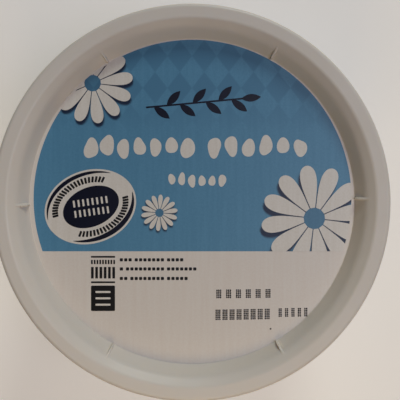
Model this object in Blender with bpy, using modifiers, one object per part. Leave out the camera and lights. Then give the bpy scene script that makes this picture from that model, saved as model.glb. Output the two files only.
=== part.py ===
"""A shut round dairy tub: a tapered plastic tub, its press-on lid, and the label on the lid's recessed panel.

Metres, +Z up. The origin is the centre of the base, on the surface that the tub stands on.
+Y is towards the top of the label. The tub is filled and shut, so its body is one solid.
"""

import math

import bpy
from mathutils import Vector

# Driving dimensions
LID_RADIUS = 0.049
OVERALL_HEIGHT = 0.054
WALL = 0.0008
FIT_GAP = 0.0003

RIM_FLAT_OUTER = 0.0486
RIM_EDGE_FILLET = 0.0010
SHOULDER_RADIUS = 0.0434
SHOULDER_FILLET = 0.0026
RECESS_DEPTH = 0.0062
PANEL_RADIUS = 0.04135
PANEL_FILLET = 0.0006
SKIRT_HEIGHT = 0.0080
SNAP_BEAD_RADIUS = 0.04695
SNAP_BEAD_DROP = 0.0049
SNAP_BEAD_TAPER = 0.0006
SNAP_BEAD_CREST = 0.0003

RIB_COUNT = 6
RIB_TURN = math.radians(1.1)
RIB_THICKNESS = 0.0006
RIB_FOOT_RADIUS = 0.04105
RIB_TOP_RADIUS = 0.0419
RIB_TOP_DROP = 0.0019
RIB_OUTER_DROP = 0.0006

LABEL_RADIUS = 0.04075
LABEL_THICKNESS = 0.0003

TUB_RIM_RADIUS = 0.04735
TUB_RIM_HEIGHT = 0.0035
TUB_NECK_RADIUS = 0.0453
TUB_NECK_BOTTOM = 0.0432
TUB_STEP = 0.0010
TUB_WALL_TOP_RADIUS = 0.0439
TUB_WALL_BOTTOM_RADIUS = 0.0386
TUB_FOOT_HEIGHT = 0.0020
FOOT_OUTER_RADIUS = 0.0374
FOOT_INNER_RADIUS = 0.0340
BASE_RECESS = 0.0012
TUB_RIM_TOP_FILLET = 0.0007
TUB_RIM_UNDER_FILLET = 0.0006
NECK_FILLET = 0.0004
STEP_FILLET = 0.0008
HEEL_FILLET = 0.0015
FOOT_FILLET = 0.0006

TURN_STEPS = 72
ARC_STEP = math.radians(24)
SHARP_ANGLE = math.radians(40)
MERGE = 0.000001

# Linear colours and roughness
LID_COLOUR = (0.76, 0.73, 0.66)
TUB_COLOUR = (0.75, 0.73, 0.67)
LABEL_COLOUR = (0.11, 0.25, 0.40)
MOULDED_ROUGHNESS = 0.42
FILM_ROUGHNESS = 0.35

# Heights that follow from them
RIM_TOP = OVERALL_HEIGHT
PANEL_TOP = RIM_TOP - RECESS_DEPTH
PANEL_UNDERSIDE = PANEL_TOP - WALL
SKIRT_BOTTOM = RIM_TOP - SKIRT_HEIGHT
CHANNEL_TOP = RIM_TOP - WALL
TUB_RIM_TOP = CHANNEL_TOP - FIT_GAP
FILL_TOP = PANEL_UNDERSIDE - FIT_GAP


def clear_scene():
    """Removes every object of the open file."""
    for old in list(bpy.data.objects):
        bpy.data.objects.remove(old, do_unlink=True)


def new_collection(name):
    """An empty collection in the scene."""
    collection = bpy.data.collections.new(name)
    bpy.context.scene.collection.children.link(collection)
    return collection


def plastic(name, colour, roughness):
    """A Principled material of this linear colour and roughness."""
    material = bpy.data.materials.new(name)
    material.use_nodes = True
    shader = material.node_tree.nodes["Principled BSDF"]
    shader.inputs["Base Color"].default_value = (*colour, 1.0)
    shader.inputs["Roughness"].default_value = roughness
    shader.inputs["Metallic"].default_value = 0.0
    return material


def inner_wall(offset, height):
    """The radius, at this height, of a line beside the lid's sloping inner wall, offset into the plastic."""
    slope = Vector((SHOULDER_RADIUS - PANEL_RADIUS, RECESS_DEPTH))
    along = (height - PANEL_TOP) / RECESS_DEPTH
    return PANEL_RADIUS + slope.x * along + offset * slope.length / slope.y


def rounded(corners):
    """The outline through (radius, height, fillet) corners, each turned by an arc of its fillet radius."""
    points = []
    for index, (radius, height, fillet) in enumerate(corners):
        corner = Vector((radius, height))
        if fillet == 0:
            points.append(corner)
            continue
        back = (Vector(corners[index - 1][:2]) - corner).normalized()
        onward = (Vector(corners[index + 1][:2]) - corner).normalized()
        half = back.angle(onward) / 2
        turn = math.pi - 2 * half
        centre = corner + (back + onward).normalized() * fillet / math.sin(half)
        first = corner + back * fillet / math.tan(half) - centre
        last = corner + onward * fillet / math.tan(half) - centre
        steps = max(2, math.ceil(turn / ARC_STEP))
        for step in range(steps + 1):
            part = turn * step / steps
            towards = first * math.sin(turn - part) + last * math.sin(part)
            points.append(centre + towards / math.sin(turn))
    return points


def turned(name, outline, material, collection):
    """A solid turned about Z. Its outline starts and ends on the axis and runs down its outer side."""
    mesh = bpy.data.meshes.new(name)
    points = [(point.x, 0, point.y) for point in outline]
    mesh.from_pydata(points, [(i, i + 1) for i in range(len(points) - 1)], [])
    mesh.materials.append(material)
    solid = bpy.data.objects.new(name, mesh)
    collection.objects.link(solid)
    screw = solid.modifiers.new("Turn", "SCREW")
    screw.axis = "Z"
    screw.steps = TURN_STEPS
    screw.render_steps = TURN_STEPS
    screw.use_merge_vertices = True
    screw.merge_threshold = MERGE
    return solid


def applied(solid):
    """Makes the object's modifiers part of its mesh, and shades its round faces smooth."""
    graph = bpy.context.evaluated_depsgraph_get()
    mesh = bpy.data.meshes.new_from_object(solid.evaluated_get(graph))
    solid.modifiers.clear()
    solid.data = mesh
    mesh.shade_smooth()
    mesh.set_sharp_from_angle(angle=SHARP_ANGLE)
    return solid


def lid_outline():
    """The lid's section: panel, sloping wall, rim and skirt above, then back inside past the snap bead."""
    bead_top = RIM_TOP - SNAP_BEAD_DROP
    crest_top = bead_top - SNAP_BEAD_TAPER
    crest_bottom = crest_top - SNAP_BEAD_CREST
    bead_bottom = crest_bottom - SNAP_BEAD_TAPER
    skirt_slope = (LID_RADIUS - RIM_FLAT_OUTER) / SKIRT_HEIGHT

    def skirt_inner(height):
        return RIM_FLAT_OUTER - WALL + skirt_slope * (RIM_TOP - height)

    return rounded([
        (0, PANEL_TOP, 0),
        (PANEL_RADIUS, PANEL_TOP, PANEL_FILLET),
        (SHOULDER_RADIUS, RIM_TOP, SHOULDER_FILLET),
        (RIM_FLAT_OUTER, RIM_TOP, RIM_EDGE_FILLET),
        (LID_RADIUS, SKIRT_BOTTOM, 0),
        (skirt_inner(SKIRT_BOTTOM), SKIRT_BOTTOM, 0),
        (skirt_inner(bead_bottom), bead_bottom, 0),
        (SNAP_BEAD_RADIUS, crest_bottom, 0),
        (SNAP_BEAD_RADIUS, crest_top, 0),
        (skirt_inner(bead_top), bead_top, 0),
        (skirt_inner(CHANNEL_TOP), CHANNEL_TOP, RIM_EDGE_FILLET - WALL),
        (inner_wall(WALL, CHANNEL_TOP), CHANNEL_TOP, SHOULDER_FILLET - WALL),
        (inner_wall(WALL, PANEL_UNDERSIDE), PANEL_UNDERSIDE, PANEL_FILLET + WALL),
        (0, PANEL_UNDERSIDE, 0),
    ])


def tub_outline():
    """The filled tub's section: contents, rolled rim, neck, stacking step, tapered wall and foot ring."""
    rim_bottom = TUB_RIM_TOP - TUB_RIM_HEIGHT
    gap_line = WALL + FIT_GAP
    return rounded([
        (0, FILL_TOP, 0),
        (inner_wall(gap_line, FILL_TOP), FILL_TOP, PANEL_FILLET + gap_line),
        (inner_wall(gap_line, TUB_RIM_TOP), TUB_RIM_TOP, SHOULDER_FILLET - gap_line),
        (TUB_RIM_RADIUS, TUB_RIM_TOP, TUB_RIM_TOP_FILLET),
        (TUB_RIM_RADIUS, rim_bottom, TUB_RIM_UNDER_FILLET),
        (TUB_NECK_RADIUS, rim_bottom, NECK_FILLET),
        (TUB_NECK_RADIUS, TUB_NECK_BOTTOM, NECK_FILLET),
        (TUB_WALL_TOP_RADIUS, TUB_NECK_BOTTOM - TUB_STEP, STEP_FILLET),
        (TUB_WALL_BOTTOM_RADIUS, TUB_FOOT_HEIGHT, HEEL_FILLET),
        (FOOT_OUTER_RADIUS, 0, FOOT_FILLET),
        (FOOT_INNER_RADIUS, 0, 0),
        (FOOT_INNER_RADIUS - BASE_RECESS, BASE_RECESS, FOOT_FILLET),
        (0, BASE_RECESS, 0),
    ])


def label_outline():
    """The label's section: a thin disc just above the panel."""
    underside = PANEL_TOP + FIT_GAP
    return rounded([
        (0, underside + LABEL_THICKNESS, 0),
        (LABEL_RADIUS, underside + LABEL_THICKNESS, 0),
        (LABEL_RADIUS, underside, 0),
        (0, underside, 0),
    ])


def rib(index, collection):
    """A thin upright rib in the corner between panel and wall. Its root is sunk half a wall into both."""
    root = WALL / 2
    outline = [
        (RIB_FOOT_RADIUS, PANEL_TOP - root),
        (RIB_FOOT_RADIUS, PANEL_TOP),
        (RIB_TOP_RADIUS, RIM_TOP - RIB_TOP_DROP),
        (inner_wall(root, RIM_TOP - RIB_OUTER_DROP), RIM_TOP - RIB_OUTER_DROP),
        (inner_wall(root, PANEL_TOP - root), PANEL_TOP - root),
    ]
    mesh = bpy.data.meshes.new(f"rib_{index}")
    points = [(radius, 0, height) for radius, height in outline]
    mesh.from_pydata(points, [], [range(len(points))])
    plate = bpy.data.objects.new(f"rib_{index}", mesh)
    collection.objects.link(plate)
    plate.rotation_euler.z = RIB_TURN + index * math.tau / RIB_COUNT
    thicken = plate.modifiers.new("Thickness", "SOLIDIFY")
    thicken.thickness = RIB_THICKNESS
    thicken.offset = 0
    plate.hide_render = True
    plate.display_type = "WIRE"
    return plate


def make_lid(parts, helpers):
    """The lid with its ribs joined on, as one moulding."""
    polypropylene = plastic("polypropylene_lid", LID_COLOUR, MOULDED_ROUGHNESS)
    solid = turned("lid", lid_outline(), polypropylene, parts)
    for index in range(RIB_COUNT):
        rib(index, helpers)
    join = solid.modifiers.new("Ribs", "BOOLEAN")
    join.operation = "UNION"
    join.operand_type = "COLLECTION"
    join.collection = helpers
    join.solver = "EXACT"
    return applied(solid)


def make_tub(parts):
    """The filled tub."""
    polypropylene = plastic("polypropylene_tub", TUB_COLOUR, MOULDED_ROUGHNESS)
    return applied(turned("tub", tub_outline(), polypropylene, parts))


def make_label(parts):
    """The printed film on the lid's panel."""
    film = plastic("printed_film", LABEL_COLOUR, FILM_ROUGHNESS)
    return applied(turned("label", label_outline(), film, parts))


clear_scene()
tub_parts = new_collection("cottage_cheese_tub")
rib_helpers = new_collection("ribs_joined_to_lid")
rib_helpers.hide_render = True
make_tub(tub_parts)
make_lid(tub_parts, rib_helpers)
make_label(tub_parts)
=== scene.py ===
# %% [markdown]
# # A shut tub of cottage cheese, seen from straight above
# The real thing is three pieces: a thin off-white plastic tub, the lid pressed onto its rim, and a printed
# label in the round recess of the lid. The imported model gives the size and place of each. This lesson makes
# the fine surfaces over it, then the print, the plastics and inks, and the light that shows them.
# The frame comes first, because everything else is measured from it.

import math

import bpy
import numpy as np
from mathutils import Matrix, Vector
from mathutils.geometry import delaunay_2d_cdt


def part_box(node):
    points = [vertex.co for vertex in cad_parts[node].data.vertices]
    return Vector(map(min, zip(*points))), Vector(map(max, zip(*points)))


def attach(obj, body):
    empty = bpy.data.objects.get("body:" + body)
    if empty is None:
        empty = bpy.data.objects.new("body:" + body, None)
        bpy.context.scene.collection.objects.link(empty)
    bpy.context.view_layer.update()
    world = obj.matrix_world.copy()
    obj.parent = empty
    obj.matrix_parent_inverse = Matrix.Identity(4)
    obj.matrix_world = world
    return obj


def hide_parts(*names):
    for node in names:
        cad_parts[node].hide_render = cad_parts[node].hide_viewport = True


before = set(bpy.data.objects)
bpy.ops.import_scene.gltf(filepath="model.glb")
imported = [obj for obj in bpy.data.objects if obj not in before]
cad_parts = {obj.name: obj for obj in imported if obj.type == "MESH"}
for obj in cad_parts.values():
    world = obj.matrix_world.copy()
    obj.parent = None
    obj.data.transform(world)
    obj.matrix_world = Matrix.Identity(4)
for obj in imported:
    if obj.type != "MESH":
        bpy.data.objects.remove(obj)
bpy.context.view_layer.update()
print("nodes in the frame:", ", ".join(sorted(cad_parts)))

# %% [markdown]
# ## Sizes
# A tub maker's drawing is in millimetres, so every length below is too, and the function that makes a piece
# turns them into Blender's metres. The outer sizes are read from the frame, so they can't drift from it.

# %% Read the sizes from the frame
METRE = 1000.0


def node_box(name):
    """The lowest and highest corner of a node of the frame, in millimetres."""
    low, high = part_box(name)
    return np.array(low) * METRE, np.array(high) * METRE


LID_LOW, LID_HIGH = node_box("lid")
LABEL_HIGH = node_box("label")[1]
RIM_TOP = LID_HIGH[2]
SKIRT_BOTTOM = LID_LOW[2]
LID_RADIUS = LID_HIGH[0]
LABEL_RADIUS = LABEL_HIGH[0]
LABEL_TOP = LABEL_HIGH[2]
print(f"lid {2 * LID_RADIUS:.1f} mm across, rim at {RIM_TOP:.1f} mm, label {2 * LABEL_RADIUS:.1f} mm across")

# %% [markdown]
# ## The camera
# The photograph was taken from about 150 mm above the rim, straight down. The lens looks along the tub's axis
# from a point a little above and right of it, and the picture was cut from a larger one, which a small shift
# of the lens repeats. Turning the camera instead would make the round lid slightly oval.

# %% Make the camera
PICTURE_WIDTH = 400
SENSOR_WIDTH = 36.0
FOCAL_PIXELS = 617.3
VIEW_HEIGHT = 150.0
LENS_OVER_PIXEL = (205.6, 168.8)
LID_CENTRE_PIXEL = (191.5, 202.7)


def make_camera():
    """A camera looking down. It stands beside the axis by the offset in pixels times a pixel's size at the
    rim."""
    data = bpy.data.cameras.new("camera")
    data.sensor_width = SENSOR_WIDTH
    data.lens = FOCAL_PIXELS * SENSOR_WIDTH / PICTURE_WIDTH
    data.shift_x = (PICTURE_WIDTH / 2 - LENS_OVER_PIXEL[0]) / PICTURE_WIDTH
    data.shift_y = (LENS_OVER_PIXEL[1] - PICTURE_WIDTH / 2) / PICTURE_WIDTH
    camera = bpy.data.objects.new("camera", data)
    bpy.context.scene.collection.objects.link(camera)
    pixel = VIEW_HEIGHT / FOCAL_PIXELS
    beside = (LENS_OVER_PIXEL[0] - LID_CENTRE_PIXEL[0]) * pixel
    above = (LID_CENTRE_PIXEL[1] - LENS_OVER_PIXEL[1]) * pixel
    camera.location = Vector((beside, above, RIM_TOP + VIEW_HEIGHT)) / METRE
    bpy.context.scene.camera = camera
    return camera


camera = make_camera()
print("camera at", [round(x, 4) for x in camera.location])

# %% [markdown]
# ## Colours and nodes
# Every material below is a small graph of nodes. Colours are written as the hex values that a screen shows,
# and Blender's shaders want linear light, so one function turns one into the other. A second one adds a node,
# sets it and links it, and three short ones use it for noise, sums and blends, so that each material reads as
# a list of what it does.

# %% Helpers for materials
def linear(hex_colour):
    """sRGB hex to linear red, green, blue and alpha, by the standard's power curve with its straight toe."""
    srgb = np.array([int(hex_colour[i:i + 2], 16) for i in (1, 3, 5)]) / 255
    rgb = np.where(srgb <= 0.04045, srgb / 12.92, ((srgb + 0.055) / 1.055) ** 2.4)
    return (*rgb.tolist(), 1.0)


def add_node(tree, kind, inputs=None, **settings):
    """Adds a node of this kind. Each input is a value, or another node's output to link."""
    node = tree.nodes.new(kind)
    for name, value in settings.items():
        setattr(node, name, value)
    for name, value in (inputs or {}).items():
        if isinstance(value, bpy.types.NodeSocket):
            tree.links.new(value, node.inputs[name])
        else:
            node.inputs[name].default_value = value
    return node


def new_material(name, **shader_values):
    """A material with its Principled shader's own sockets set. Returns it, its tree and the shader."""
    material = bpy.data.materials.new(name)
    material.use_nodes = True
    tree = material.node_tree
    shader = tree.nodes["Principled BSDF"]
    for socket, value in shader_values.items():
        shader.inputs[socket.replace("_", " ")].default_value = value
    return material, tree, shader


def noise(tree, place, size, detail=2.0):
    """The value of a Noise texture whose cells are this many millimetres."""
    return add_node(tree, "ShaderNodeTexNoise", {
        "Vector": place, "Scale": METRE / size, "Detail": detail}).outputs["Fac"]


def calculate(tree, operation, first, second):
    """The value of a Math node on two values or sockets."""
    return add_node(tree, "ShaderNodeMath", {0: first, 1: second}, operation=operation).outputs["Value"]


def blend(tree, share, first, second):
    """The colour of a Mix node: first (1 - share) + second share."""
    return add_node(tree, "ShaderNodeMix", {
        "Factor": share, "A": first, "B": second}, data_type="RGBA").outputs["Result"]


print("off-white in linear light:", [round(x, 3) for x in linear("#E6E1D6")])

# %% [markdown]
# ## The plastics
# Tub and lid are injection-moulded polypropylene: a milky, slightly translucent plastic that light enters a
# millimetre or so, so its shadows are soft and a little warm. The mould's satin finish leaves a very fine
# grain, and handling leaves faint dull patches. One function makes both, in two close whites.

# %% Moulded polypropylene
POLYPROPYLENE_IOR = 1.49
MILKY_SHARE = 0.2
MILKY_DEPTH = 0.8
MILKY_COLOURS = (1.0, 0.82, 0.6)
SATIN = 0.42
PATCH_GLOSS = (-0.04, 0.06)
PATCH_RANGE = (0.3, 0.7)
FLOW_PATCH = 14.0
MOULD_GRAIN = 0.35
GRAIN_DEPTH = 0.04
GRAIN_STRENGTH = 0.12


def moulded_polypropylene(name, pale, warm):
    """Moulded polypropylene: two close whites in slow patches, a fine grain and soft translucency."""
    material, tree, shader = new_material(
        name, IOR=POLYPROPYLENE_IOR, Subsurface_Weight=MILKY_SHARE, Subsurface_Scale=MILKY_DEPTH / METRE,
        Subsurface_Radius=MILKY_COLOURS)
    place = add_node(tree, "ShaderNodeTexCoord").outputs["Object"]
    patches = noise(tree, place, FLOW_PATCH, detail=3.0)
    white = blend(tree, patches, linear(pale), linear(warm))
    grain = noise(tree, place, MOULD_GRAIN)
    dullness = add_node(tree, "ShaderNodeMapRange", {
        "Value": patches, "From Min": PATCH_RANGE[0], "From Max": PATCH_RANGE[1],
        "To Min": SATIN + PATCH_GLOSS[0], "To Max": SATIN + PATCH_GLOSS[1]})
    relief = add_node(tree, "ShaderNodeBump", {
        "Height": grain, "Strength": GRAIN_STRENGTH, "Distance": GRAIN_DEPTH / METRE})
    tree.links.new(white, shader.inputs["Base Color"])
    tree.links.new(dullness.outputs["Result"], shader.inputs["Roughness"])
    tree.links.new(relief.outputs["Normal"], shader.inputs["Normal"])
    return material


lid_plastic = moulded_polypropylene("moulded_polypropylene_lid", "#EDE5DB", "#E9E0D4")
tub_plastic = moulded_polypropylene("moulded_polypropylene_tub", "#EDE6DD", "#E9E1D6")
print("plastics:", lid_plastic.name, tub_plastic.name)

# %% [markdown]
# ## Outlines
# A moulded round part is drawn as one section and turned about its axis. The section is a list of corners,
# each with the radius of its rounding, because that is how the mould is cut. Each rounding becomes an arc of
# short steps. Spin or Screw could turn the section, but a grid worked out with numpy also lets the
# section change with the angle, which the lid's ribs need.

# %% Sections and turned surfaces
ARC_STEP = math.radians(9)
ARC_GUARD = 0.04
SHARP_ANGLE = math.radians(35)
TURN_STEPS = 240


def around(steps):
    """Angles once round, without the last."""
    return np.arange(steps) * math.tau / steps


def rounded(corners):
    """The outline through (radius, height, rounding) corners. An arc from unit vector p to unit vector q over
    the turn t is (p sin(t - a) + q sin(a)) / sin(t), for a from 0 to t, times the rounding, round its centre.
    A point just before and just after each arc keeps the arc's shading off the straight runs beside it."""
    runs = []
    for index, (radius, height, rounding) in enumerate(corners):
        corner = np.array([radius, height], float)
        if rounding == 0:
            runs.append(corner[None])
            continue
        back = np.array(corners[index - 1][:2]) - corner
        onward = np.array(corners[index + 1][:2]) - corner
        back = back / np.linalg.norm(back)
        onward = onward / np.linalg.norm(onward)
        half = math.acos(np.clip(back @ onward, -1, 1)) / 2
        turn = math.pi - 2 * half
        inward = (back + onward) / np.linalg.norm(back + onward)
        centre = corner + inward * rounding / math.sin(half)
        first = corner + back * rounding / math.tan(half) - centre
        last = corner + onward * rounding / math.tan(half) - centre
        part = np.linspace(0, turn, max(3, math.ceil(turn / ARC_STEP) + 1))[:, None]
        arc = centre + (first * np.sin(turn - part) + last * np.sin(part)) / math.sin(turn)
        runs += [arc[:1] + back * ARC_GUARD, arc, arc[-1:] + onward * ARC_GUARD]
    return np.concatenate(runs)


def spaced(outline, count):
    """The same outline as count points, evenly spaced along its length."""
    steps = np.linalg.norm(np.diff(outline, axis=0), axis=1)
    along = np.concatenate([[0], np.cumsum(steps)])
    wanted = np.linspace(0, along[-1], count)
    return np.stack([np.interp(wanted, along, outline[:, axis]) for axis in (0, 1)], axis=1)


def add_piece(name, points, faces, material):
    """A piece from points in millimetres and faces, smooth where its faces meet at less than SHARP_ANGLE."""
    mesh = bpy.data.meshes.new(name)
    mesh.from_pydata((np.asarray(points) / METRE).tolist(), [], [list(face) for face in faces])
    mesh.materials.append(material)
    mesh.shade_smooth()
    mesh.set_sharp_from_angle(angle=SHARP_ANGLE)
    mesh.validate()
    piece = bpy.data.objects.new(name, mesh)
    bpy.context.scene.collection.objects.link(piece)
    return piece


def turned_grid(sections, angles):
    """Points and faces of a closed round solid. sections is (angles, points, 2) of radius and height, from
    the axis on top round the outside to the axis below. x is radius cos(angle), y is radius sin(angle)."""
    rings = sections[:, 1:-1]
    across = rings[..., 0]
    turn = angles[:, None]
    body = np.stack([across * np.cos(turn), across * np.sin(turn), rings[..., 1]], axis=-1)
    count, length = across.shape
    points = np.concatenate([body.reshape(-1, 3), [[0, 0, sections[0, 0, 1]], [0, 0, sections[0, -1, 1]]]])
    index = np.arange(count * length).reshape(count, length)
    beside = np.roll(index, -1, axis=0)
    quads = np.stack([index[:, :-1], index[:, 1:], beside[:, 1:], beside[:, :-1]], axis=-1).reshape(-1, 4)
    top, bottom = count * length, count * length + 1
    top_fan = np.stack([np.full(count, top), index[:, 0], beside[:, 0]], axis=-1)
    bottom_fan = np.stack([np.full(count, bottom), beside[:, -1], index[:, -1]], axis=-1)
    return points, quads.tolist() + top_fan.tolist() + bottom_fan.tolist()


def turned_piece(name, outline, material):
    """A piece with the same section all round."""
    sections = np.broadcast_to(outline, (TURN_STEPS, *outline.shape))
    return add_piece(name, *turned_grid(sections, around(TURN_STEPS)), material)


print("a rounded corner has", len(rounded([(0, 0, 0), (1, 0, 0.2), (1, -1, 0)])) - 2, "points")

# %% [markdown]
# ## The tub
# The tub hangs below the lid and the photograph doesn't show it, so it is finished as such tubs are: a rolled
# rim under the lid, a straight neck, a small step that keeps stacked empty tubs apart, a tapered wall, and a
# foot ring round a slightly raised base. The plastic entered the mould in the middle of the base, which
# leaves a small round gate mark there.

# %% Turn the tub
TUB_RIM_RADIUS = 47.35
TUB_RIM_TOP = 52.9
TUB_RIM_HEIGHT = 3.5
TUB_NECK_RADIUS = 45.3
TUB_NECK_BOTTOM = 43.2
TUB_STEP = 1.0
WALL_TOP_RADIUS = 43.9
WALL_BOTTOM_RADIUS = 38.6
WALL_BOTTOM = 2.0
FOOT_OUTER_RADIUS = 37.4
FOOT_INNER_RADIUS = 34.0
BASE_RECESS = 1.2
GATE_RADIUS = 1.6
GATE_SLOPE = 0.3
GATE_DROP = 0.35
FILL_TOP = 46.7
FILL_RADIUS = 41.9
TUB_RIM_INNER = 45.6


def tub_outline():
    """The tub's section, from the middle of its contents under the lid to the gate mark under its base. Each
    line is a corner: its radius, its height and its rounding."""
    rim_bottom = TUB_RIM_TOP - TUB_RIM_HEIGHT
    return rounded([
        (0, FILL_TOP, 0),
        (FILL_RADIUS, FILL_TOP, 1.6),
        (TUB_RIM_INNER, TUB_RIM_TOP, 1.0),
        (TUB_RIM_RADIUS, TUB_RIM_TOP, 0.9),
        (TUB_RIM_RADIUS, rim_bottom, 0.8),
        (TUB_NECK_RADIUS, rim_bottom, 0.4),
        (TUB_NECK_RADIUS, TUB_NECK_BOTTOM, 0.4),
        (WALL_TOP_RADIUS, TUB_NECK_BOTTOM - TUB_STEP, 0.8),
        (WALL_BOTTOM_RADIUS, WALL_BOTTOM, 1.5),
        (FOOT_OUTER_RADIUS, 0, 0.6),
        (FOOT_INNER_RADIUS, 0, 0.5),
        (FOOT_INNER_RADIUS - BASE_RECESS, BASE_RECESS, 0.6),
        (GATE_RADIUS + GATE_SLOPE, BASE_RECESS, 0.2),
        (GATE_RADIUS, BASE_RECESS - GATE_DROP, 0.1),
        (0, BASE_RECESS - GATE_DROP, 0),
    ])


tub = turned_piece("tub_shell", tub_outline(), tub_plastic)
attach(tub, "root")
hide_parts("tub")
print("tub:", len(tub.data.polygons), "faces")

# %% [markdown]
# ## The lid
# The lid is one moulding: a flat panel sunk nearly 6 mm into it, a steep wall, a sloping shoulder, a rim that
# falls a little inwards and a skirt that grips the tub. Six thin ribs stiffen the corner between panel and
# wall. A rib is the same section with its corner filled up to a sloping crest, so the lid is one grid whose
# section slides from the plain one to the rib's within a third of a millimetre. A Boolean would join six
# plates too, but it leaves knife edges where this keeps the small roundings of a mould.

# %% Form the lid with its ribs
FILM_THICKNESS = 0.08
PANEL_TOP = LABEL_TOP - FILM_THICKNESS
PANEL_THICKNESS = 1.1
WALL = 0.8
PANEL_MIDDLE = 20.0
PANEL_JOIN = 40.6
PANEL_RADIUS = 41.0
PANEL_ROUNDING = 0.25
SHOULDER_FOOT = 43.0
WALL_TOP_ROUNDING = 4.0
SHOULDER_TOP = 45.1
SHOULDER_SLOPE = math.radians(37)
CREASE_ROUNDING = 1.5
RIM_SLOPE = math.radians(4)
RIM_OUTER = 48.6
RIM_ROUNDING = 1.0
SKIRT_ROUNDING = 0.25
SKIRT_TAPER = (0.25, 0.2)
BEAD_RADIUS = 46.95
BEAD_LEVELS = (1.2, 2.0, 2.8)
BEAD_ROUNDING = 0.3
CHANNEL_ROUNDING = 0.2
SECTION_POINTS = 64
RIB_COUNT = 6
RIB_TURN = math.radians(1.1)
RIB_THICKNESS = 0.5
RIB_EDGE = 0.3
RIB_FOOT = 40.85
RIB_FOOT_ROUNDING = 0.1
RIB_LEAN = 0.1
RIB_END_HEIGHT = 2.2
RIB_END_ROUNDING = 0.5
RIB_CREST = 43.35
RIB_CREST_LIFT = 0.02
RIB_CREST_ROUNDING = 0.8
RIB_JOIN = 43.9
RIB_REACH = 0.62
RIB_CLEAR = 0.7
RIB_STEPS = 25


def rim_height(radius):
    """The rim falls a little inwards: height is the outer edge's less the distance times the slope."""
    return RIM_TOP - (RIM_OUTER - radius) * math.tan(RIM_SLOPE)


def shoulder_height(radius):
    """The shoulder is a cone from the rim's inner crease down to the wall."""
    return rim_height(SHOULDER_TOP) - (SHOULDER_TOP - radius) * math.tan(SHOULDER_SLOPE)


PANEL_EDGE = (PANEL_RADIUS, PANEL_TOP)
SHOULDER_EDGE = (SHOULDER_FOOT, shoulder_height(SHOULDER_FOOT))
CREASE = (SHOULDER_TOP, rim_height(SHOULDER_TOP))
RIM_EDGE = (RIM_OUTER, RIM_TOP)
RIB_END = (RIB_JOIN, shoulder_height(RIB_JOIN))


def plain_corner():
    """Panel edge, wall and the foot of the shoulder, as the section is between the ribs."""
    return spaced(rounded([
        (PANEL_JOIN, PANEL_TOP, 0),
        (*PANEL_EDGE, PANEL_ROUNDING),
        (*SHOULDER_EDGE, WALL_TOP_ROUNDING),
        (*RIB_END, 0),
    ]), SECTION_POINTS)


def rib_corner():
    """The same stretch along a rib: up its short inner end, then along its sloping crest to the shoulder."""
    return spaced(rounded([
        (PANEL_JOIN, PANEL_TOP, 0),
        (RIB_FOOT, PANEL_TOP, RIB_FOOT_ROUNDING),
        (RIB_FOOT + RIB_LEAN, PANEL_TOP + RIB_END_HEIGHT, RIB_END_ROUNDING),
        (RIB_CREST, shoulder_height(RIB_CREST) + RIB_CREST_LIFT, RIB_CREST_ROUNDING),
        (*RIB_END, 0),
    ]), SECTION_POINTS)


def beneath(before, corner, after):
    """The underside's corner below a corner of the top. With n and m the unit normals of the runs before and
    after it, pointing down, it is the corner plus the wall's thickness times (n + m) / (1 + n.m)."""
    runs = np.diff([before, corner, after], axis=0)
    down = np.column_stack([runs[:, 1], -runs[:, 0]]) / np.linalg.norm(runs, axis=1)[:, None]
    return corner + WALL * down.sum(axis=0) / (1 + down[0] @ down[1])


def outer_outline():
    """From the shoulder over the rim, down the skirt, and back by bead, channel and wall to the axis."""
    inside = RIM_OUTER - WALL
    wall_foot = beneath((0, PANEL_TOP), PANEL_EDGE, SHOULDER_EDGE)
    return rounded([
        (*RIB_END, 0),
        (*CREASE, CREASE_ROUNDING),
        (*RIM_EDGE, RIM_ROUNDING),
        (LID_RADIUS, SKIRT_BOTTOM, SKIRT_ROUNDING),
        (LID_RADIUS - WALL, SKIRT_BOTTOM, SKIRT_ROUNDING),
        (inside + SKIRT_TAPER[0], SKIRT_BOTTOM + BEAD_LEVELS[0], 0),
        (BEAD_RADIUS, SKIRT_BOTTOM + BEAD_LEVELS[1], BEAD_ROUNDING),
        (inside + SKIRT_TAPER[1], SKIRT_BOTTOM + BEAD_LEVELS[2], 0),
        (inside, rim_height(inside) - WALL, CHANNEL_ROUNDING),
        (*beneath(SHOULDER_EDGE, CREASE, RIM_EDGE), CREASE_ROUNDING - WALL),
        (*beneath(PANEL_EDGE, SHOULDER_EDGE, CREASE), WALL_TOP_ROUNDING - WALL),
        (wall_foot[0], PANEL_TOP - PANEL_THICKNESS, PANEL_ROUNDING + WALL),
        (0, PANEL_TOP - PANEL_THICKNESS, 0),
    ])[1:]


def rib_angles():
    """Angles all round, a degree apart, and close together across each rib. Also the ribs' own angles."""
    coarse = np.radians(np.arange(360.0))
    across = np.radians(np.linspace(-RIB_REACH, RIB_REACH, RIB_STEPS))
    middles = RIB_TURN + np.arange(RIB_COUNT) * math.tau / RIB_COUNT
    fine = (middles[:, None] + across).ravel() % math.tau
    near = np.abs((coarse[:, None] - middles + math.pi) % math.tau - math.pi).min(axis=1)
    return np.sort(np.concatenate([coarse[near > np.radians(RIB_CLEAR)], fine])), middles


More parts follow.
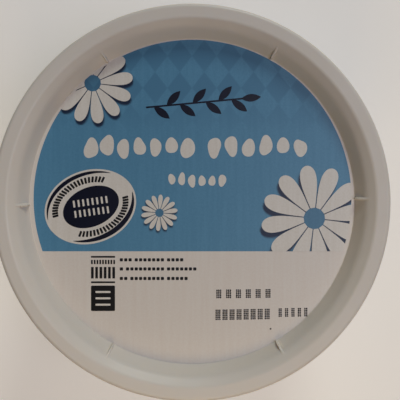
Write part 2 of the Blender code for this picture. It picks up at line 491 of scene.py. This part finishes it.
def lid_sections():
    """The section at each angle: plain + (rib - plain) times a smooth step from 0 to 1 over a rib's edge."""
    angles, middles = rib_angles()
    away = np.abs((angles[:, None] - middles + math.pi) % math.tau - math.pi).min(axis=1) * SHOULDER_FOOT
    step = np.clip((RIB_THICKNESS / 2 + RIB_EDGE / 2 - away) / RIB_EDGE, 0, 1)
    share = (step * step * (3 - 2 * step))[:, None, None]
    plain = plain_corner()
    corner = plain + (rib_corner() - plain) * share
    count = len(angles)
    top = np.broadcast_to(np.array([[0, PANEL_TOP], [PANEL_MIDDLE, PANEL_TOP]]), (count, 2, 2))
    outer = outer_outline()
    outer = np.broadcast_to(outer, (count, *outer.shape))
    return np.concatenate([top, corner, outer], axis=1), angles


lid = add_piece("lid_moulding", *turned_grid(*lid_sections()), lid_plastic)
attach(lid, "root")
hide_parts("lid")
print("lid:", len(lid.data.polygons), "faces")

# %% [markdown]
# ## Film and inks
# The label is a printed polypropylene film, laid in the mould so that the lid is cast onto its back. It is
# smoother than the lid, with a satin varnish over the inks. The inks are a few flat colours, and a press
# never lays them quite evenly: thin streaks run along the web, and the solid colours are faintly mottled.

# %% Printed film and its inks
FILM_IOR = 1.5
VARNISH_GLOSS = 0.4
VARNISH_SATIN = 0.36
STREAK_WIDTH = 0.9
STREAK_STRETCH = (1.0, 0.06, 1.0)
MOTTLE = 0.5
MOTTLE_GLOSS = (-0.04, 0.08)
COVER_RANGE = (0.75, 1.25)


def printed_ink(name, thin, full, roughness=VARNISH_SATIN):
    """A satin ink on film: between its thin and full colour by streaks along the web and a fine mottle."""
    material, tree, shader = new_material(name, IOR=FILM_IOR, Specular_IOR_Level=VARNISH_GLOSS)
    place = add_node(tree, "ShaderNodeTexCoord").outputs["Object"]
    stretched = add_node(tree, "ShaderNodeMapping", {"Vector": place, "Scale": STREAK_STRETCH})
    streaks = noise(tree, stretched.outputs["Vector"], STREAK_WIDTH)
    mottle = noise(tree, place, MOTTLE)
    cover = add_node(tree, "ShaderNodeMapRange", {
        "Value": calculate(tree, "ADD", streaks, mottle),
        "From Min": COVER_RANGE[0], "From Max": COVER_RANGE[1]})
    colour = blend(tree, cover.outputs["Result"], linear(thin), linear(full))
    gloss = add_node(tree, "ShaderNodeMapRange", {
        "Value": mottle, "To Min": roughness + MOTTLE_GLOSS[0], "To Max": roughness + MOTTLE_GLOSS[1]})
    tree.links.new(colour, shader.inputs["Base Color"])
    tree.links.new(gloss.outputs["Result"], shader.inputs["Roughness"])
    return material, tree, shader, place, colour


film_white = printed_ink("moulded_in_film_white", "#E9E1D8", "#E6DCD2")[0]
ink_white = printed_ink("printed_white_ink", "#E9E3DB", "#E2DBD1")[0]
ink_navy = printed_ink("printed_navy_ink", "#070B25", "#05081D")[0]
ink_black = printed_ink("printed_black_ink", "#151213", "#0F0D0E")[0]
ink_jet = printed_ink("ink_jet_code_ink", "#2B2625", "#1B1717", roughness=0.5)[0]
print("inks:", film_white.name, ink_white.name, ink_navy.name, ink_black.name, ink_jet.name)

# %% [markdown]
# ## The blue
# The blue field is the largest colour on the pack. Its upper part carries a faint pattern of diamonds in a
# deeper blue that fades out downwards, and soft navy shadows lie under the flowers. The diamonds are two
# triangle waves added up, one across and one along. The shadows come from a value that the mesh carries at
# each point, because only the shape function of the flowers knows where they are.

# %% Blue ink with diamonds and shadows
BLUES = ("#5D93B5", "#568CAE")
DIAMOND_BLUE = "#5083A5"
SHADOW_BLUE = "#161C38"
DIAMOND_WIDTH = 6.2
DIAMOND_HEIGHT = 8.07
DIAMOND_ROW = 32.64
DIAMOND_EDGE = (0.93, 1.07)
FADE_FROM = 17.0
FADE_TO = 27.0


def printed_blue():
    """Blue ink. A diamond is where wave(x) + wave(y) > 1, each wave a triangle from 0 to 1."""
    material, tree, shader, place, colour = printed_ink("printed_blue_ink", *BLUES)
    axes = add_node(tree, "ShaderNodeSeparateXYZ", {"Vector": place})
    across = calculate(tree, "PINGPONG", axes.outputs["X"], DIAMOND_WIDTH / 2 / METRE)
    lowered = calculate(tree, "SUBTRACT", axes.outputs["Y"], DIAMOND_ROW / METRE)
    along = calculate(tree, "PINGPONG", lowered, DIAMOND_HEIGHT / 2 / METRE)
    wave_x = calculate(tree, "MULTIPLY", across, 2 * METRE / DIAMOND_WIDTH)
    wave_y = calculate(tree, "MULTIPLY", along, 2 * METRE / DIAMOND_HEIGHT)
    total = calculate(tree, "ADD", wave_x, wave_y)
    diamond = add_node(tree, "ShaderNodeMapRange", {
        "Value": total, "From Min": DIAMOND_EDGE[0], "From Max": DIAMOND_EDGE[1]})
    fade = add_node(tree, "ShaderNodeMapRange", {
        "Value": axes.outputs["Y"], "From Min": FADE_FROM / METRE, "From Max": FADE_TO / METRE})
    strength = calculate(tree, "MULTIPLY", diamond.outputs["Result"], fade.outputs["Result"])
    patterned = blend(tree, strength, colour, linear(DIAMOND_BLUE))
    shade = add_node(tree, "ShaderNodeAttribute", attribute_name="shade").outputs["Fac"]
    tree.links.new(blend(tree, shade, patterned, linear(SHADOW_BLUE)), shader.inputs["Base Color"])
    return material


ink_blue = printed_blue()
print("blue ink has", len(ink_blue.node_tree.nodes), "nodes")

# %% [markdown]
# ## The label film
# The film is a thin disc on the panel with a softly rounded edge. It is turned like the lid, and reaches just
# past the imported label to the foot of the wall, so that no bare panel shows beside it. The print goes on top
# of it as separate flat pieces, so that its edges stay sharp from close by.

# %% Turn the label film
FILM_REACH = 0.1
FILM_RADIUS = LABEL_RADIUS + FILM_REACH
FILM_EDGE = 0.05
FILM_SINK = 0.02

film = turned_piece("label_film", rounded([
    (0, LABEL_TOP, 0),
    (FILM_RADIUS, LABEL_TOP, FILM_EDGE),
    (FILM_RADIUS, PANEL_TOP - FILM_SINK, 0),
    (0, PANEL_TOP - FILM_SINK, 0),
]), film_white)
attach(film, "root")
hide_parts("label")
print("film:", len(film.data.polygons), "faces")

# %% [markdown]
# ## Laying down an ink
# Each ink is a set of flat outlines, some of them cut off at the edge of the blue field. Blender's
# constrained Delaunay function overlays any number of outlines and says which of them each small triangle is
# in, so keeping the right triangles does every cut at once. The kept ones then get an underside and side
# walls, which makes each ink a thin closed plate a few hundredths of a millimetre proud of the film.

# %% Overlay outlines and make plates
INK_SINK = 0.01
MERGE_DISTANCE = 1e-5
INSIDE_ONLY = 1
BAR_STEPS = 24


def overlay(shapes, within=None, holes=(), lattice=None):
    """Points and triangles of the area in any of the shapes, inside within and outside the holes."""
    outlines = [*shapes, *holes, *([] if within is None else [within])]
    loose = [] if lattice is None else [lattice]
    sizes = [len(outline) for outline in outlines]
    starts = np.cumsum([0, *sizes])
    corners = [Vector(point) for point in np.concatenate([*outlines, *loose]).tolist()]
    rings = [list(range(start, start + size)) for start, size in zip(starts, sizes)]
    points, _, triangles, _, _, inside = delaunay_2d_cdt(
        corners, [], rings, INSIDE_ONLY, MERGE_DISTANCE, True)
    shape_ids = set(range(len(shapes)))
    hole_ids = set(range(len(shapes), len(shapes) + len(holes)))
    field_ids = set() if within is None else {len(outlines) - 1}
    kept = [triangle for triangle, ids in zip(triangles, map(set, inside))
            if ids & shape_ids and not ids & hole_ids and field_ids <= ids]
    used, faces = np.unique(np.array(kept), return_inverse=True)
    return np.array([tuple(point) for point in points])[used], faces.reshape(-1, 3)


def plate_faces(flat, triangles):
    """Top, underside and side walls. An edge that only one triangle uses is on the boundary."""
    corner = flat[triangles]
    side_a, side_b = corner[:, 1] - corner[:, 0], corner[:, 2] - corner[:, 0]
    turned_over = side_a[:, 0] * side_b[:, 1] < side_a[:, 1] * side_b[:, 0]
    triangles = np.where(turned_over[:, None], triangles[:, ::-1], triangles)
    edges = np.concatenate([triangles[:, [0, 1]], triangles[:, [1, 2]], triangles[:, [2, 0]]])
    count = len(flat)
    key = edges[:, 0] * count + edges[:, 1]
    boundary = edges[~np.isin(key, edges[:, 1] * count + edges[:, 0])]
    walls = np.stack([boundary[:, 0], boundary[:, 0] + count, boundary[:, 1] + count, boundary[:, 1]], axis=1)
    return triangles.tolist() + (triangles[:, ::-1] + count).tolist() + walls.tolist()


def on_label(flat, lift):
    """Flat points placed on the label, lift millimetres above the film."""
    return np.column_stack([flat, np.full(len(flat), LABEL_TOP + lift)])


def lay_ink(name, material, lift, shapes, slot="label_film", place=on_label, shade=None, **cuts):
    """One ink as a closed plate from just under the film's surface to lift millimetres above it."""
    flat, triangles = overlay(shapes, **cuts)
    points = np.concatenate([place(flat, lift), place(flat, -INK_SINK)])
    piece = add_piece(name, points, plate_faces(flat, triangles), material)
    if shade is not None:
        values = np.tile(shade(flat), 2).astype(np.float32)
        attribute = piece.data.attributes.new("shade", "FLOAT", "POINT")
        attribute.data.foreach_set("value", values)
    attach(piece, "root")
    print(f"{name}: {len(shapes)} outlines, {len(piece.data.polygons)} faces")


def placed(x, y, centre, tilt):
    """Points turned by tilt about the origin and then moved to the centre."""
    return np.column_stack([
        centre[0] + x * math.cos(tilt) - y * math.sin(tilt),
        centre[1] + x * math.sin(tilt) + y * math.cos(tilt)])


def on_oval(centre, half_size, tilt, turn):
    """Points at these angles t of a tilted ellipse: (a cos t, b sin t), placed."""
    return placed(half_size[0] * np.cos(turn), half_size[1] * np.sin(turn), centre, tilt)


def ellipse(centre, half_width, half_height, tilt=0.0, steps=96):
    """A whole ellipse."""
    return on_oval(centre, (half_width, half_height), tilt, around(steps))


def bar(centre, length, height, tilt=0.0, rounding=0.5):
    """A bar with round corners: a circle whose four quarters are moved apart, each to its own corner. The
    circle's radius is the rounding times half the bar's shorter side."""
    turn = around(BAR_STEPS)
    corner = min(length, height) / 2 * rounding
    x = np.sign(np.cos(turn)) * (length / 2 - corner) + corner * np.cos(turn)
    y = np.sign(np.sin(turn)) * (height / 2 - corner) + corner * np.sin(turn)
    return placed(x, y, centre, tilt)


print("an ellipse has", len(ellipse((0, 0), 2, 1)), "points")

# %% [markdown]
# ## The blue field
# The blue covers the label down to a straight line a third of the way up from its lower edge. It is printed
# as a circle a little smaller than the film and not quite in its middle, so a thin white border is left,
# wider at the sides than at the top.

# %% Lay the blue field
FIELD_CENTRE = (0.13, 0.7)
FIELD_RADIUS = 40.05
FIELD_BOTTOM = -12.55
FIELD_STEPS = 256
BLUE_LIFT = 0.02


def field_outline():
    """A circle whose part below a level is left out, by running the angle between the two crossings."""
    start = math.asin((FIELD_BOTTOM - FIELD_CENTRE[1]) / FIELD_RADIUS)
    turn = np.linspace(start, math.pi - start, FIELD_STEPS)
    x = FIELD_CENTRE[0] + FIELD_RADIUS * np.cos(turn)
    return np.column_stack([x, FIELD_CENTRE[1] + FIELD_RADIUS * np.sin(turn)])


BLUE_FIELD = field_outline()
lay_ink("print_blue_field", ink_blue, BLUE_LIFT, [BLUE_FIELD])

# %% [markdown]
# ## The daisies
# Three plain white daisies lie on the blue: a large one at the right, one cut off by the field's edge at the
# upper left, and a tiny one in between. Each petal widens outwards so that the gap to the next stays the
# same, then closes in a blunt round tip. Petals reaching past the blue are white on white, so they are cut
# off at its edge. A soft shadow hangs just below each flower.

# %% Lay the daisies and their shadows
PETAL_TURN = math.radians(8.5)
PETAL_ROUNDNESS = 3.6
PETAL_STEPS = 26
SHADOW_DEPTH = 0.95
SHADOW_SOFTNESS = 0.33
SHADOW_SPACING = 0.3
SHADOW_LIFT = 0.03
PETAL_LIFT = 0.05
HUB_LIFT = 0.06
HUB_SHADE = 0.24
# Each flower: its centre, reach, hub radius, gap between petals and petal count
DAISIES = {
    "upper_left": ((-25.05, 29.82), 10.2, 2.05, 0.2, 12),
    "right": ((30.83, -4.26), 13.4, 2.65, 0.24, 12),
    "small": ((-8.21, -2.85), 4.6, 1.05, 0.14, 14),
}
# How far to the left and down each flower's shadow lies
DROPS = {"upper_left": (-0.2, 1.0), "right": (0.45, 1.3), "small": (0.1, 0.5)}


def petal_half_width(along, reach, gap, count):
    """Half a petal's width at a distance from the hub's centre: half the pitch there less half the gap, times
    the square root of 1 - s to the power of the roundness, where s is the distance over the reach."""
    side = along * math.tan(math.pi / count) - gap / 2
    return side * np.sqrt(1 - np.clip(along / reach, 0, 1) ** PETAL_ROUNDNESS)


def petals(centre, reach, hub, gap, count):
    """The outlines of a flower's petals, each the same curve turned about the hub."""
    run = np.sin(np.linspace(0, math.pi / 2, PETAL_STEPS))
    along = hub + (reach - hub) * run
    half = petal_half_width(along, reach, gap, count)
    x = np.concatenate([along, along[-2::-1]])
    y = np.concatenate([half, -half[-2::-1]])
    return [placed(x, y, centre, turn)[::-1] for turn in PETAL_TURN + around(count)]


def petal_shade(flat, daisy, drop):
    """How deep a point lies in a flower's shadow, 0 to 1: a smooth step over its distance inside the nearest
    petal of the flower moved by minus the drop."""
    centre, reach, _, gap, count = daisy
    x, y = flat[:, 0] - centre[0] + drop[0], flat[:, 1] - centre[1] + drop[1]
    pitch = math.tau / count
    turn = (np.arctan2(y, x) - PETAL_TURN + pitch / 2) % pitch - pitch / 2
    away = np.hypot(x, y)
    along, beside = away * np.cos(turn), np.abs(away * np.sin(turn))
    inside = petal_half_width(along, reach, gap, count) - beside
    inside = np.minimum(inside, reach - along)
    step = np.clip(inside / SHADOW_SOFTNESS / 2 + 0.5, 0, 1)
    return SHADOW_DEPTH * step * step * (3 - 2 * step)


def lay_shadow(name, daisy, drop):
    """The shadow under one flower: a patch of blue on a fine lattice that carries the shade at each point."""
    centre, reach = daisy[:2]
    edge = reach + math.hypot(*drop) + 2 * SHADOW_SOFTNESS
    ticks = np.arange(-edge, edge, SHADOW_SPACING)
    x, y = np.meshgrid(ticks, ticks)
    near = np.hypot(x, y) < edge - SHADOW_SPACING / 2
    lattice = np.column_stack([x[near] + centre[0], y[near] + centre[1]])
    lay_ink(f"print_shadow_{name}", ink_blue, SHADOW_LIFT, [ellipse(centre, edge, edge)],
            within=BLUE_FIELD, lattice=lattice, shade=lambda flat: petal_shade(flat, daisy, drop))


for name, daisy in DAISIES.items():
    lay_shadow(name, daisy, DROPS[name])
lay_ink("print_white_petals", ink_white, PETAL_LIFT,
        [petal for daisy in DAISIES.values() for petal in petals(*daisy)], within=BLUE_FIELD)
lay_ink("print_hubs", ink_blue, HUB_LIFT,
        [ellipse(centre, hub, hub) for centre, _, hub, _, _ in DAISIES.values()],
        within=ellipse((0, 0), FILM_RADIUS - FILM_EDGE, FILM_RADIUS - FILM_EDGE, steps=FIELD_STEPS),
        shade=lambda flat: np.full(len(flat), HUB_SHADE))

# %% [markdown]
# ## The seal
# A tilted oval seal sits at the left: a white oval with a navy one inside it, and two navy crescents just
# within its edge. The ring between carries a plain reeded border, and the middle two rows of white bars, so
# that it has the seal's tones and says nothing.

# %% Lay the seal
SEAL_CENTRE = (-25.61, -1.31)
SEAL_HALF = (11.75, 9.23)
SEAL_TILT = math.radians(18)
CORE_CENTRE = (-25.46, -1.36)
CORE_HALF = (7.36, 4.94)
CORE_TILT = math.radians(23)
CRESCENT_INSET = 0.5
CRESCENT_FULLNESS = 0.7
CRESCENT_STEPS = 60
# Each crescent: the angles of its ends and its thickness
CRESCENTS = [(48, 180, 0.95), (-128, 3, 1.25)]
REED_INSET = 0.9
REED_LENGTH = 1.5
REED_WIDTH = 0.56
# Each run of reeding: the angles of its ends and its count of bars
REEDINGS = [(56, 176, 22), (-120, -4, 21)]
DASH_ROUNDING = 0.7
# Each row of the seal's bars: its rise, its count of bars and their length
SEAL_BARS = [(1.3, 8, 0.5), (-1.3, 8, 0.5)]
WHITE_LIFT = 0.04
NAVY_LIFT = 0.055
MARK_LIFT = 0.07


def crescent(start, end, thickness):
    """A crescent inside the seal's edge. Its thickness is a half sine from end to end, to a power that fills
    it out."""
    turn = np.radians(np.linspace(start, end, CRESCENT_STEPS))
    swell = thickness * np.sin(np.linspace(0, math.pi, CRESCENT_STEPS)) ** CRESCENT_FULLNESS
    half_size = np.array(SEAL_HALF)[:, None] - CRESCENT_INSET
    outer = on_oval(SEAL_CENTRE, half_size, SEAL_TILT, turn)
    inner = on_oval(SEAL_CENTRE, half_size - swell, SEAL_TILT, turn)
    return np.concatenate([outer, inner[-2:0:-1]])


def reeding(start, end, count):
    """Short radial bars along the ring of the seal."""
    turn = np.radians(np.linspace(start, end, count))
    middle = (np.array(SEAL_HALF) - REED_INSET + np.array(CORE_HALF)) / 2
    centres = on_oval(SEAL_CENTRE, middle, SEAL_TILT, turn)
    return [bar(centre, REED_LENGTH, REED_WIDTH, tilt=math.atan2(*(centre - SEAL_CENTRE)[::-1]))
            for centre in centres]


def dash_rows(centre, rows, tilt, height, gap):
    """Rows of rounded dashes about a centre. Each row is its rise and its dashes' count and length."""
    shapes = []
    for rise, count, length in rows:
        x = (np.arange(count) - (count - 1) / 2) * (length + gap)
        spots = placed(x, np.full(count, rise), centre, tilt)
        shapes += [bar(spot, length, height, tilt, rounding=DASH_ROUNDING) for spot in spots]
    return shapes


seal_oval = ellipse(SEAL_CENTRE, *SEAL_HALF, tilt=SEAL_TILT, steps=160)
core_oval = ellipse(CORE_CENTRE, *CORE_HALF, tilt=CORE_TILT, steps=128)
lay_ink("print_seal_white", ink_white, WHITE_LIFT, [seal_oval])
lay_ink("print_seal_navy", ink_navy, NAVY_LIFT, [core_oval, *(crescent(*ends) for ends in CRESCENTS)])
lay_ink("print_seal_reeding", ink_black, NAVY_LIFT, [reed for run in REEDINGS for reed in reeding(*run)])
lay_ink("print_seal_bars", ink_white, MARK_LIFT,
        dash_rows(CORE_CENTRE, SEAL_BARS, tilt=math.radians(8), height=1.8, gap=0.68))

# %% [markdown]
# ## Curds and a sprig
# Where the pack has its words, this one has a row of white curds like the cheese inside, a smaller row under
# it, and a navy sprig above. A curd is a circle whose radius has two slow waves of its own, from a seeded
# draw, so no two are alike. A leaf is the area between two equal curves.

# %% Lay the curds and the sprig
CURD_SEED = 7
CURD_STEPS = 48
CURD_TWO_WAVE = (0.05, 0.11)
CURD_THREE_WAVE = (0.04, 0.09)
CURD_GROWTH = 0.1
CURD_DANCE = 0.18
# Each row of curds: its left end, right end, level, count, and the half width and half height of a curd
CURD_ROWS = [
    (-25.4, -1.1, 13.7, 7, 1.62, 2.35),
    (5.6, 27.3, 13.7, 6, 1.62, 2.35),
    (-5.1, 7.6, 5.4, 6, 0.9, 1.4),
]
SPRIG_START = np.array([-11.6, 23.7])
SPRIG_END = np.array([13.4, 26.0])
STEM_WIDTH = 0.42
LEAF_COUNT = 7
LEAF_SPAN = (0.08, 0.86)
LEAF_SPREAD = math.radians(42)
LEAF_LENGTH = 5.0
LEAF_WIDTH = 1.9
LEAF_STEPS = 24
END_LEAF_BACK = 0.04


def curds(draw, left, right, level, count, half_width, half_height):
    """A row of curds. Radius is 1 + a cos(2t + p) + b cos(3t + q), times the half width and half height."""
    turn = around(CURD_STEPS)
    shapes = []
    for x in np.linspace(left, right, count):
        two, three = draw.uniform(*CURD_TWO_WAVE), draw.uniform(*CURD_THREE_WAVE)
        lean_two, lean_three, size, rise = draw.uniform(0, math.tau, 4)
        radius = 1 + two * np.cos(2 * turn + lean_two) + three * np.cos(3 * turn + lean_three)
        radius = radius * (1 + CURD_GROWTH * math.sin(size))
        centre = (x, level + CURD_DANCE * half_height * math.sin(rise))
        shapes.append(placed(
            half_width * radius * np.cos(turn), half_height * radius * np.sin(turn), centre, tilt=0))
    return shapes


def leaf(root, turn):
    """A leaf: twice the width times t(1 - t) on either side of a straight midrib, pointed at both ends."""
    along = np.linspace(0, 1, LEAF_STEPS)
    half = 2 * LEAF_WIDTH * along * (1 - along)
    x = np.concatenate([along, along[-2:0:-1]]) * LEAF_LENGTH
    y = np.concatenate([half, -half[-2:0:-1]])
    return placed(x, y, root, turn)[::-1]


def sprig():
    """A stem with leaves on alternate sides and one at its end."""
    run = SPRIG_END - SPRIG_START
    lean = math.atan2(run[1], run[0])
    stem = bar((SPRIG_START + SPRIG_END) / 2, np.linalg.norm(run), STEM_WIDTH, lean)
    shapes = [stem, leaf(SPRIG_END - END_LEAF_BACK * run, lean)]
    for index, share in enumerate(np.linspace(*LEAF_SPAN, LEAF_COUNT)):
        side = 1 if index % 2 else -1
        shapes.append(leaf(SPRIG_START + run * share, lean + side * LEAF_SPREAD))
    return shapes


draw = np.random.default_rng(CURD_SEED)
lay_ink("print_white_curds", ink_white, WHITE_LIFT, [curd for row in CURD_ROWS for curd in curds(draw, *row)])
lay_ink("print_navy_sprig", ink_navy, NAVY_LIFT, sprig())

# %% [markdown]
# ## The small print
# Below the blue line the film is white. Small black print and a code that a printer jets on at the filling
# line stand there. They are kept as what they are from an arm's length away: a mark between two rules, a
# black block with three stripes, three broken lines, and three short rows of jetted dots in even groups.

# %% Lay the small print and the jetted dots
MARK_LEFT = -25.45
MARK_WIDTH = 6.05
RULE_LEVELS = (-13.95, -20.35)
RULE_HEIGHT = 0.42
# Each row of the mark: its level, the height of its bars and their count
MARK_ROWS = [(-15.25, 1.05, 9), (-17.95, 2.9, 6)]
BAR_PITCH = 1.6
BLOCK_CENTRE = (-22.43, -24.4)
BLOCK_HEIGHT = 6.4
# The block's stripes, as rows of one dash: rise, count and length
STRIPES = [(1.6, 1, 3.8), (0, 1, 3.8), (-1.6, 1, 3.8)]
LINE_LEFT = -18.2
LINE_HEIGHT = 0.78
# Each broken line: its level and how long its runs of dashes are
LINES = {-14.7: (3.4, 7.6, 4.0), -17.0: (1.0, 9.6, 7.4), -19.4: (2.2, 9.0, 5.2)}
LINE_GAP = 0.75
DASH = 0.8
DASH_GAP = 0.3
DOT_RADIUS = 0.21
DOT_PITCH = 0.45
DOT_STEPS = 8
# Each row of the code: its left end, right end, foot, count of groups, dots across and up a group, and lean
CODE_ROWS = [
    (6.3, 19.6, -24.2, 6, 3, 5, 0.6),
    (6.1, 19.4, -29.7, 8, 3, 6, 1.0),
    (22.0, 28.9, -28.9, 5, 2, 5, 1.0),
]
SPECK = (19.8, -32.1)
SPECK_RADIUS = 0.22


def ruled_mark():
    """Two rules and, between them, rows of upright bars, whose pitch is BAR_PITCH times a bar's width."""
    middle = MARK_LEFT + MARK_WIDTH / 2
    shapes = [bar((middle, level), MARK_WIDTH, RULE_HEIGHT, rounding=0.2) for level in RULE_LEVELS]
    for level, height, count in MARK_ROWS:
        width = MARK_WIDTH / (BAR_PITCH * (count - 1) + 1)
        lefts = MARK_LEFT + BAR_PITCH * width * np.arange(count)
        shapes += [bar((left + width / 2, level), width, height, rounding=0.3) for left in lefts]
    return shapes


def broken_lines():
    """Runs of short dashes, left aligned on the level of each line."""
    shapes = []
    for level, lengths in LINES.items():
        left = LINE_LEFT
        for length in lengths:
            count = max(1, round((length + DASH_GAP) / (DASH + DASH_GAP)))
            shapes += [bar((left + DASH / 2 + index * (DASH + DASH_GAP), level), DASH, LINE_HEIGHT)
                       for index in range(count)]
            left += count * (DASH + DASH_GAP) - DASH_GAP + LINE_GAP
    return shapes


def jetted(left, right, low, count, columns, rows, lean):
    """Equal groups of round dots, each a full small lattice, on a line that leans by so many degrees."""
    column, row = np.meshgrid(np.arange(columns), np.arange(rows))
    shapes = []
    for start in np.linspace(left, right - (columns - 1) * DOT_PITCH, count):
        for x, y in zip(start + column.ravel() * DOT_PITCH, low + row.ravel() * DOT_PITCH):
            centre = (x, y + (x - left) * math.tan(math.radians(lean)))
            shapes.append(ellipse(centre, DOT_RADIUS, DOT_RADIUS, steps=DOT_STEPS))
    return shapes


lay_ink("print_ruled_mark", ink_black, WHITE_LIFT, ruled_mark())
lay_ink("print_black_block", ink_black, WHITE_LIFT,
        [bar(BLOCK_CENTRE, MARK_WIDTH, BLOCK_HEIGHT, rounding=0.1)])
lay_ink("print_block_stripes", ink_white, NAVY_LIFT,
        dash_rows(BLOCK_CENTRE, STRIPES, tilt=0, height=0.5, gap=0))
lay_ink("print_broken_lines", ink_black, WHITE_LIFT, broken_lines())
lay_ink("print_jetted_code", ink_jet, WHITE_LIFT, [
    *[dot for row in CODE_ROWS for dot in jetted(*row)],
    ellipse(SPECK, SPECK_RADIUS, SPECK_RADIUS, steps=10)])

# %% [markdown]
# ## The tub's printed band
# The side isn't in the photograph. Such a tub is printed all round in the colours of its lid, so a plain blue
# band with the same daisies goes round the wall, as a guess. The flat outlines are rolled onto the cone: a
# length along the band becomes an angle, and a height stays one. The band has a blue of its own without the
# diamonds, because their waves follow x and y and would run down the wall as stripes.

# %% Roll the print onto the tub's wall
BAND_BOTTOM = 8.0
BAND_TOP = 38.5
BAND_MIDDLE = (BAND_BOTTOM + BAND_TOP) / 2
BAND_LIFT = 0.03
BAND_SINK = 0.05
SIDE_DAISIES = 8
SIDE_PETAL_LIFT = 0.07
# Two kinds of side daisy take turns: level, reach and hub radius
SIDE_KINDS = [(19.0, 9.0, 1.8), (26.5, 6.6, 1.3)]
SIDE_PETALS = 12
SIDE_GAP = 0.2


def wall_radius(height):
    """The tub's wall is a cone between its step and its foot."""
    share = (height - WALL_BOTTOM) / (TUB_NECK_BOTTOM - TUB_STEP - WALL_BOTTOM)
    return WALL_BOTTOM_RADIUS + share * (WALL_TOP_RADIUS - WALL_BOTTOM_RADIUS)


def on_wall(flat, lift):
    """Flat points rolled onto the wall: the angle is x over the wall's middle radius."""
    angle = flat[:, 0] / wall_radius(BAND_MIDDLE)
    radius = wall_radius(flat[:, 1]) + lift
    return np.column_stack([radius * np.sin(angle), -radius * np.cos(angle), flat[:, 1]])


def band_ring():
    """A thin closed ring on the wall: four corners of its section, turned."""
    top, bottom = wall_radius(BAND_TOP), wall_radius(BAND_BOTTOM)
    section = np.array([
        [top + BAND_LIFT, BAND_TOP], [bottom + BAND_LIFT, BAND_BOTTOM],
        [bottom - BAND_SINK, BAND_BOTTOM], [top - BAND_SINK, BAND_TOP]])
    turn = around(TURN_STEPS)[:, None]
    points = np.stack([section[:, 0] * np.cos(turn), section[:, 0] * np.sin(turn),
                       np.broadcast_to(section[:, 1], (TURN_STEPS, 4))], axis=-1).reshape(-1, 3)
    index = np.arange(TURN_STEPS * 4).reshape(TURN_STEPS, 4)
    onward, beside = np.roll(index, -1, axis=1), np.roll(index, -1, axis=0)
    corner = np.roll(beside, -1, axis=1)
    return points, np.stack([index, onward, corner, beside], axis=-1).reshape(-1, 4).tolist()


def side_daisy(index):
    """One of the daisies evenly spaced round the wall, as petals() wants it."""
    girth = math.tau * wall_radius(BAND_MIDDLE)
    level, reach, hub = SIDE_KINDS[index % 2]
    return (girth * (index + 0.5) / SIDE_DAISIES - girth / 2, level), reach, hub, SIDE_GAP, SIDE_PETALS


ink_side_blue = printed_ink("printed_blue_side_ink", *BLUES)[0]
band = add_piece("side_blue_band", *band_ring(), ink_side_blue)
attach(band, "root")
lay_ink("side_white_petals", ink_white, SIDE_PETAL_LIFT,
        [petal for index in range(SIDE_DAISIES) for petal in petals(*side_daisy(index))],
        slot="tub_plastic", place=on_wall)

# %% [markdown]
# ## Floor and light
# The pack stands on a plain pale table in soft indoor light. A far window beyond the picture's upper edge
# gives most of it, a cooler ceiling lamp stands high on the right, and a small warm fill on the near side.
# The table glows faintly, because a real room lights a white table from all round, and the three lights
# alone would leave it greyer than in the photograph. A pale room closes the view behind it.

# %% Set the stage
FLOOR_HALF = 1500.0
FLOOR_SATIN = 0.6
FLOOR_GLOW = 0.26
CLOUD_SIZE = 60.0
ROOM_LEVEL = 0.62
LID_MIDDLE = (0, 0, RIM_TOP)


def make_floor():
    """A flat square floor with a satin laminate finish and slow clouds in its white."""
    material, tree, shader = new_material(
        "pale_laminate_table", Roughness=FLOOR_SATIN, Emission_Color=linear("#FBF2E6"),
        Emission_Strength=FLOOR_GLOW)
    place = add_node(tree, "ShaderNodeTexCoord").outputs["Object"]
    cloud = noise(tree, place, CLOUD_SIZE, detail=3.0)
    tree.links.new(blend(tree, cloud, linear("#F6F0E9"), linear("#F2ECE4")), shader.inputs["Base Color"])
    corners = [(x, y, 0) for x, y in ((-1, -1), (1, -1), (1, 1), (-1, 1))]
    floor = add_piece("floor", np.array(corners) * FLOOR_HALF, [(0, 1, 2, 3)], material)


def add_light(name, place, aim, size, power, colour):
    """A square soft light, in millimetres and watts, facing its aim."""
    data = bpy.data.lights.new(name, "AREA")
    data.shape = "SQUARE"
    data.size = size / METRE
    data.energy = power
    data.color = linear(colour)[:3]
    light = bpy.data.objects.new(name, data)
    bpy.context.scene.collection.objects.link(light)
    light.location = Vector(place) / METRE
    light.rotation_euler = (Vector(aim) - Vector(place)).to_track_quat("-Z", "Y").to_euler()


def make_room():
    """A pale even room behind the floor. Only the camera sees it, so it adds no light to the pack."""
    world = bpy.data.worlds.new("room")
    bpy.context.scene.world = world
    world.use_nodes = True
    tree = world.node_tree
    seen = add_node(tree, "ShaderNodeLightPath").outputs["Is Camera Ray"]
    level = calculate(tree, "MULTIPLY", seen, ROOM_LEVEL)
    background = tree.nodes["Background"]
    background.inputs["Color"].default_value = linear("#FBF4EA")
    tree.links.new(level, background.inputs["Strength"])


def from_side(compass, rise, far):
    """A place this far from the lid, compass degrees from +Y towards +X and rise degrees above the rim."""
    turn, tilt = math.radians(compass), math.radians(rise)
    return (far * math.sin(turn) * math.cos(tilt), far * math.cos(turn) * math.cos(tilt),
            RIM_TOP + far * math.sin(tilt))


make_floor()
make_room()
add_light("window", from_side(compass=14, rise=31, far=1500),
          aim=LID_MIDDLE, size=400, power=7.2, colour="#FBFFF6")
add_light("ceiling", from_side(compass=100, rise=69, far=1200),
          aim=LID_MIDDLE, size=600, power=3.5, colour="#E2E6FF")
add_light("near_fill", (0, -170, 190), aim=(0, -40, 50), size=80, power=0.1, colour="#FFE4B4")
bpy.context.scene.view_settings.view_transform = "Standard"
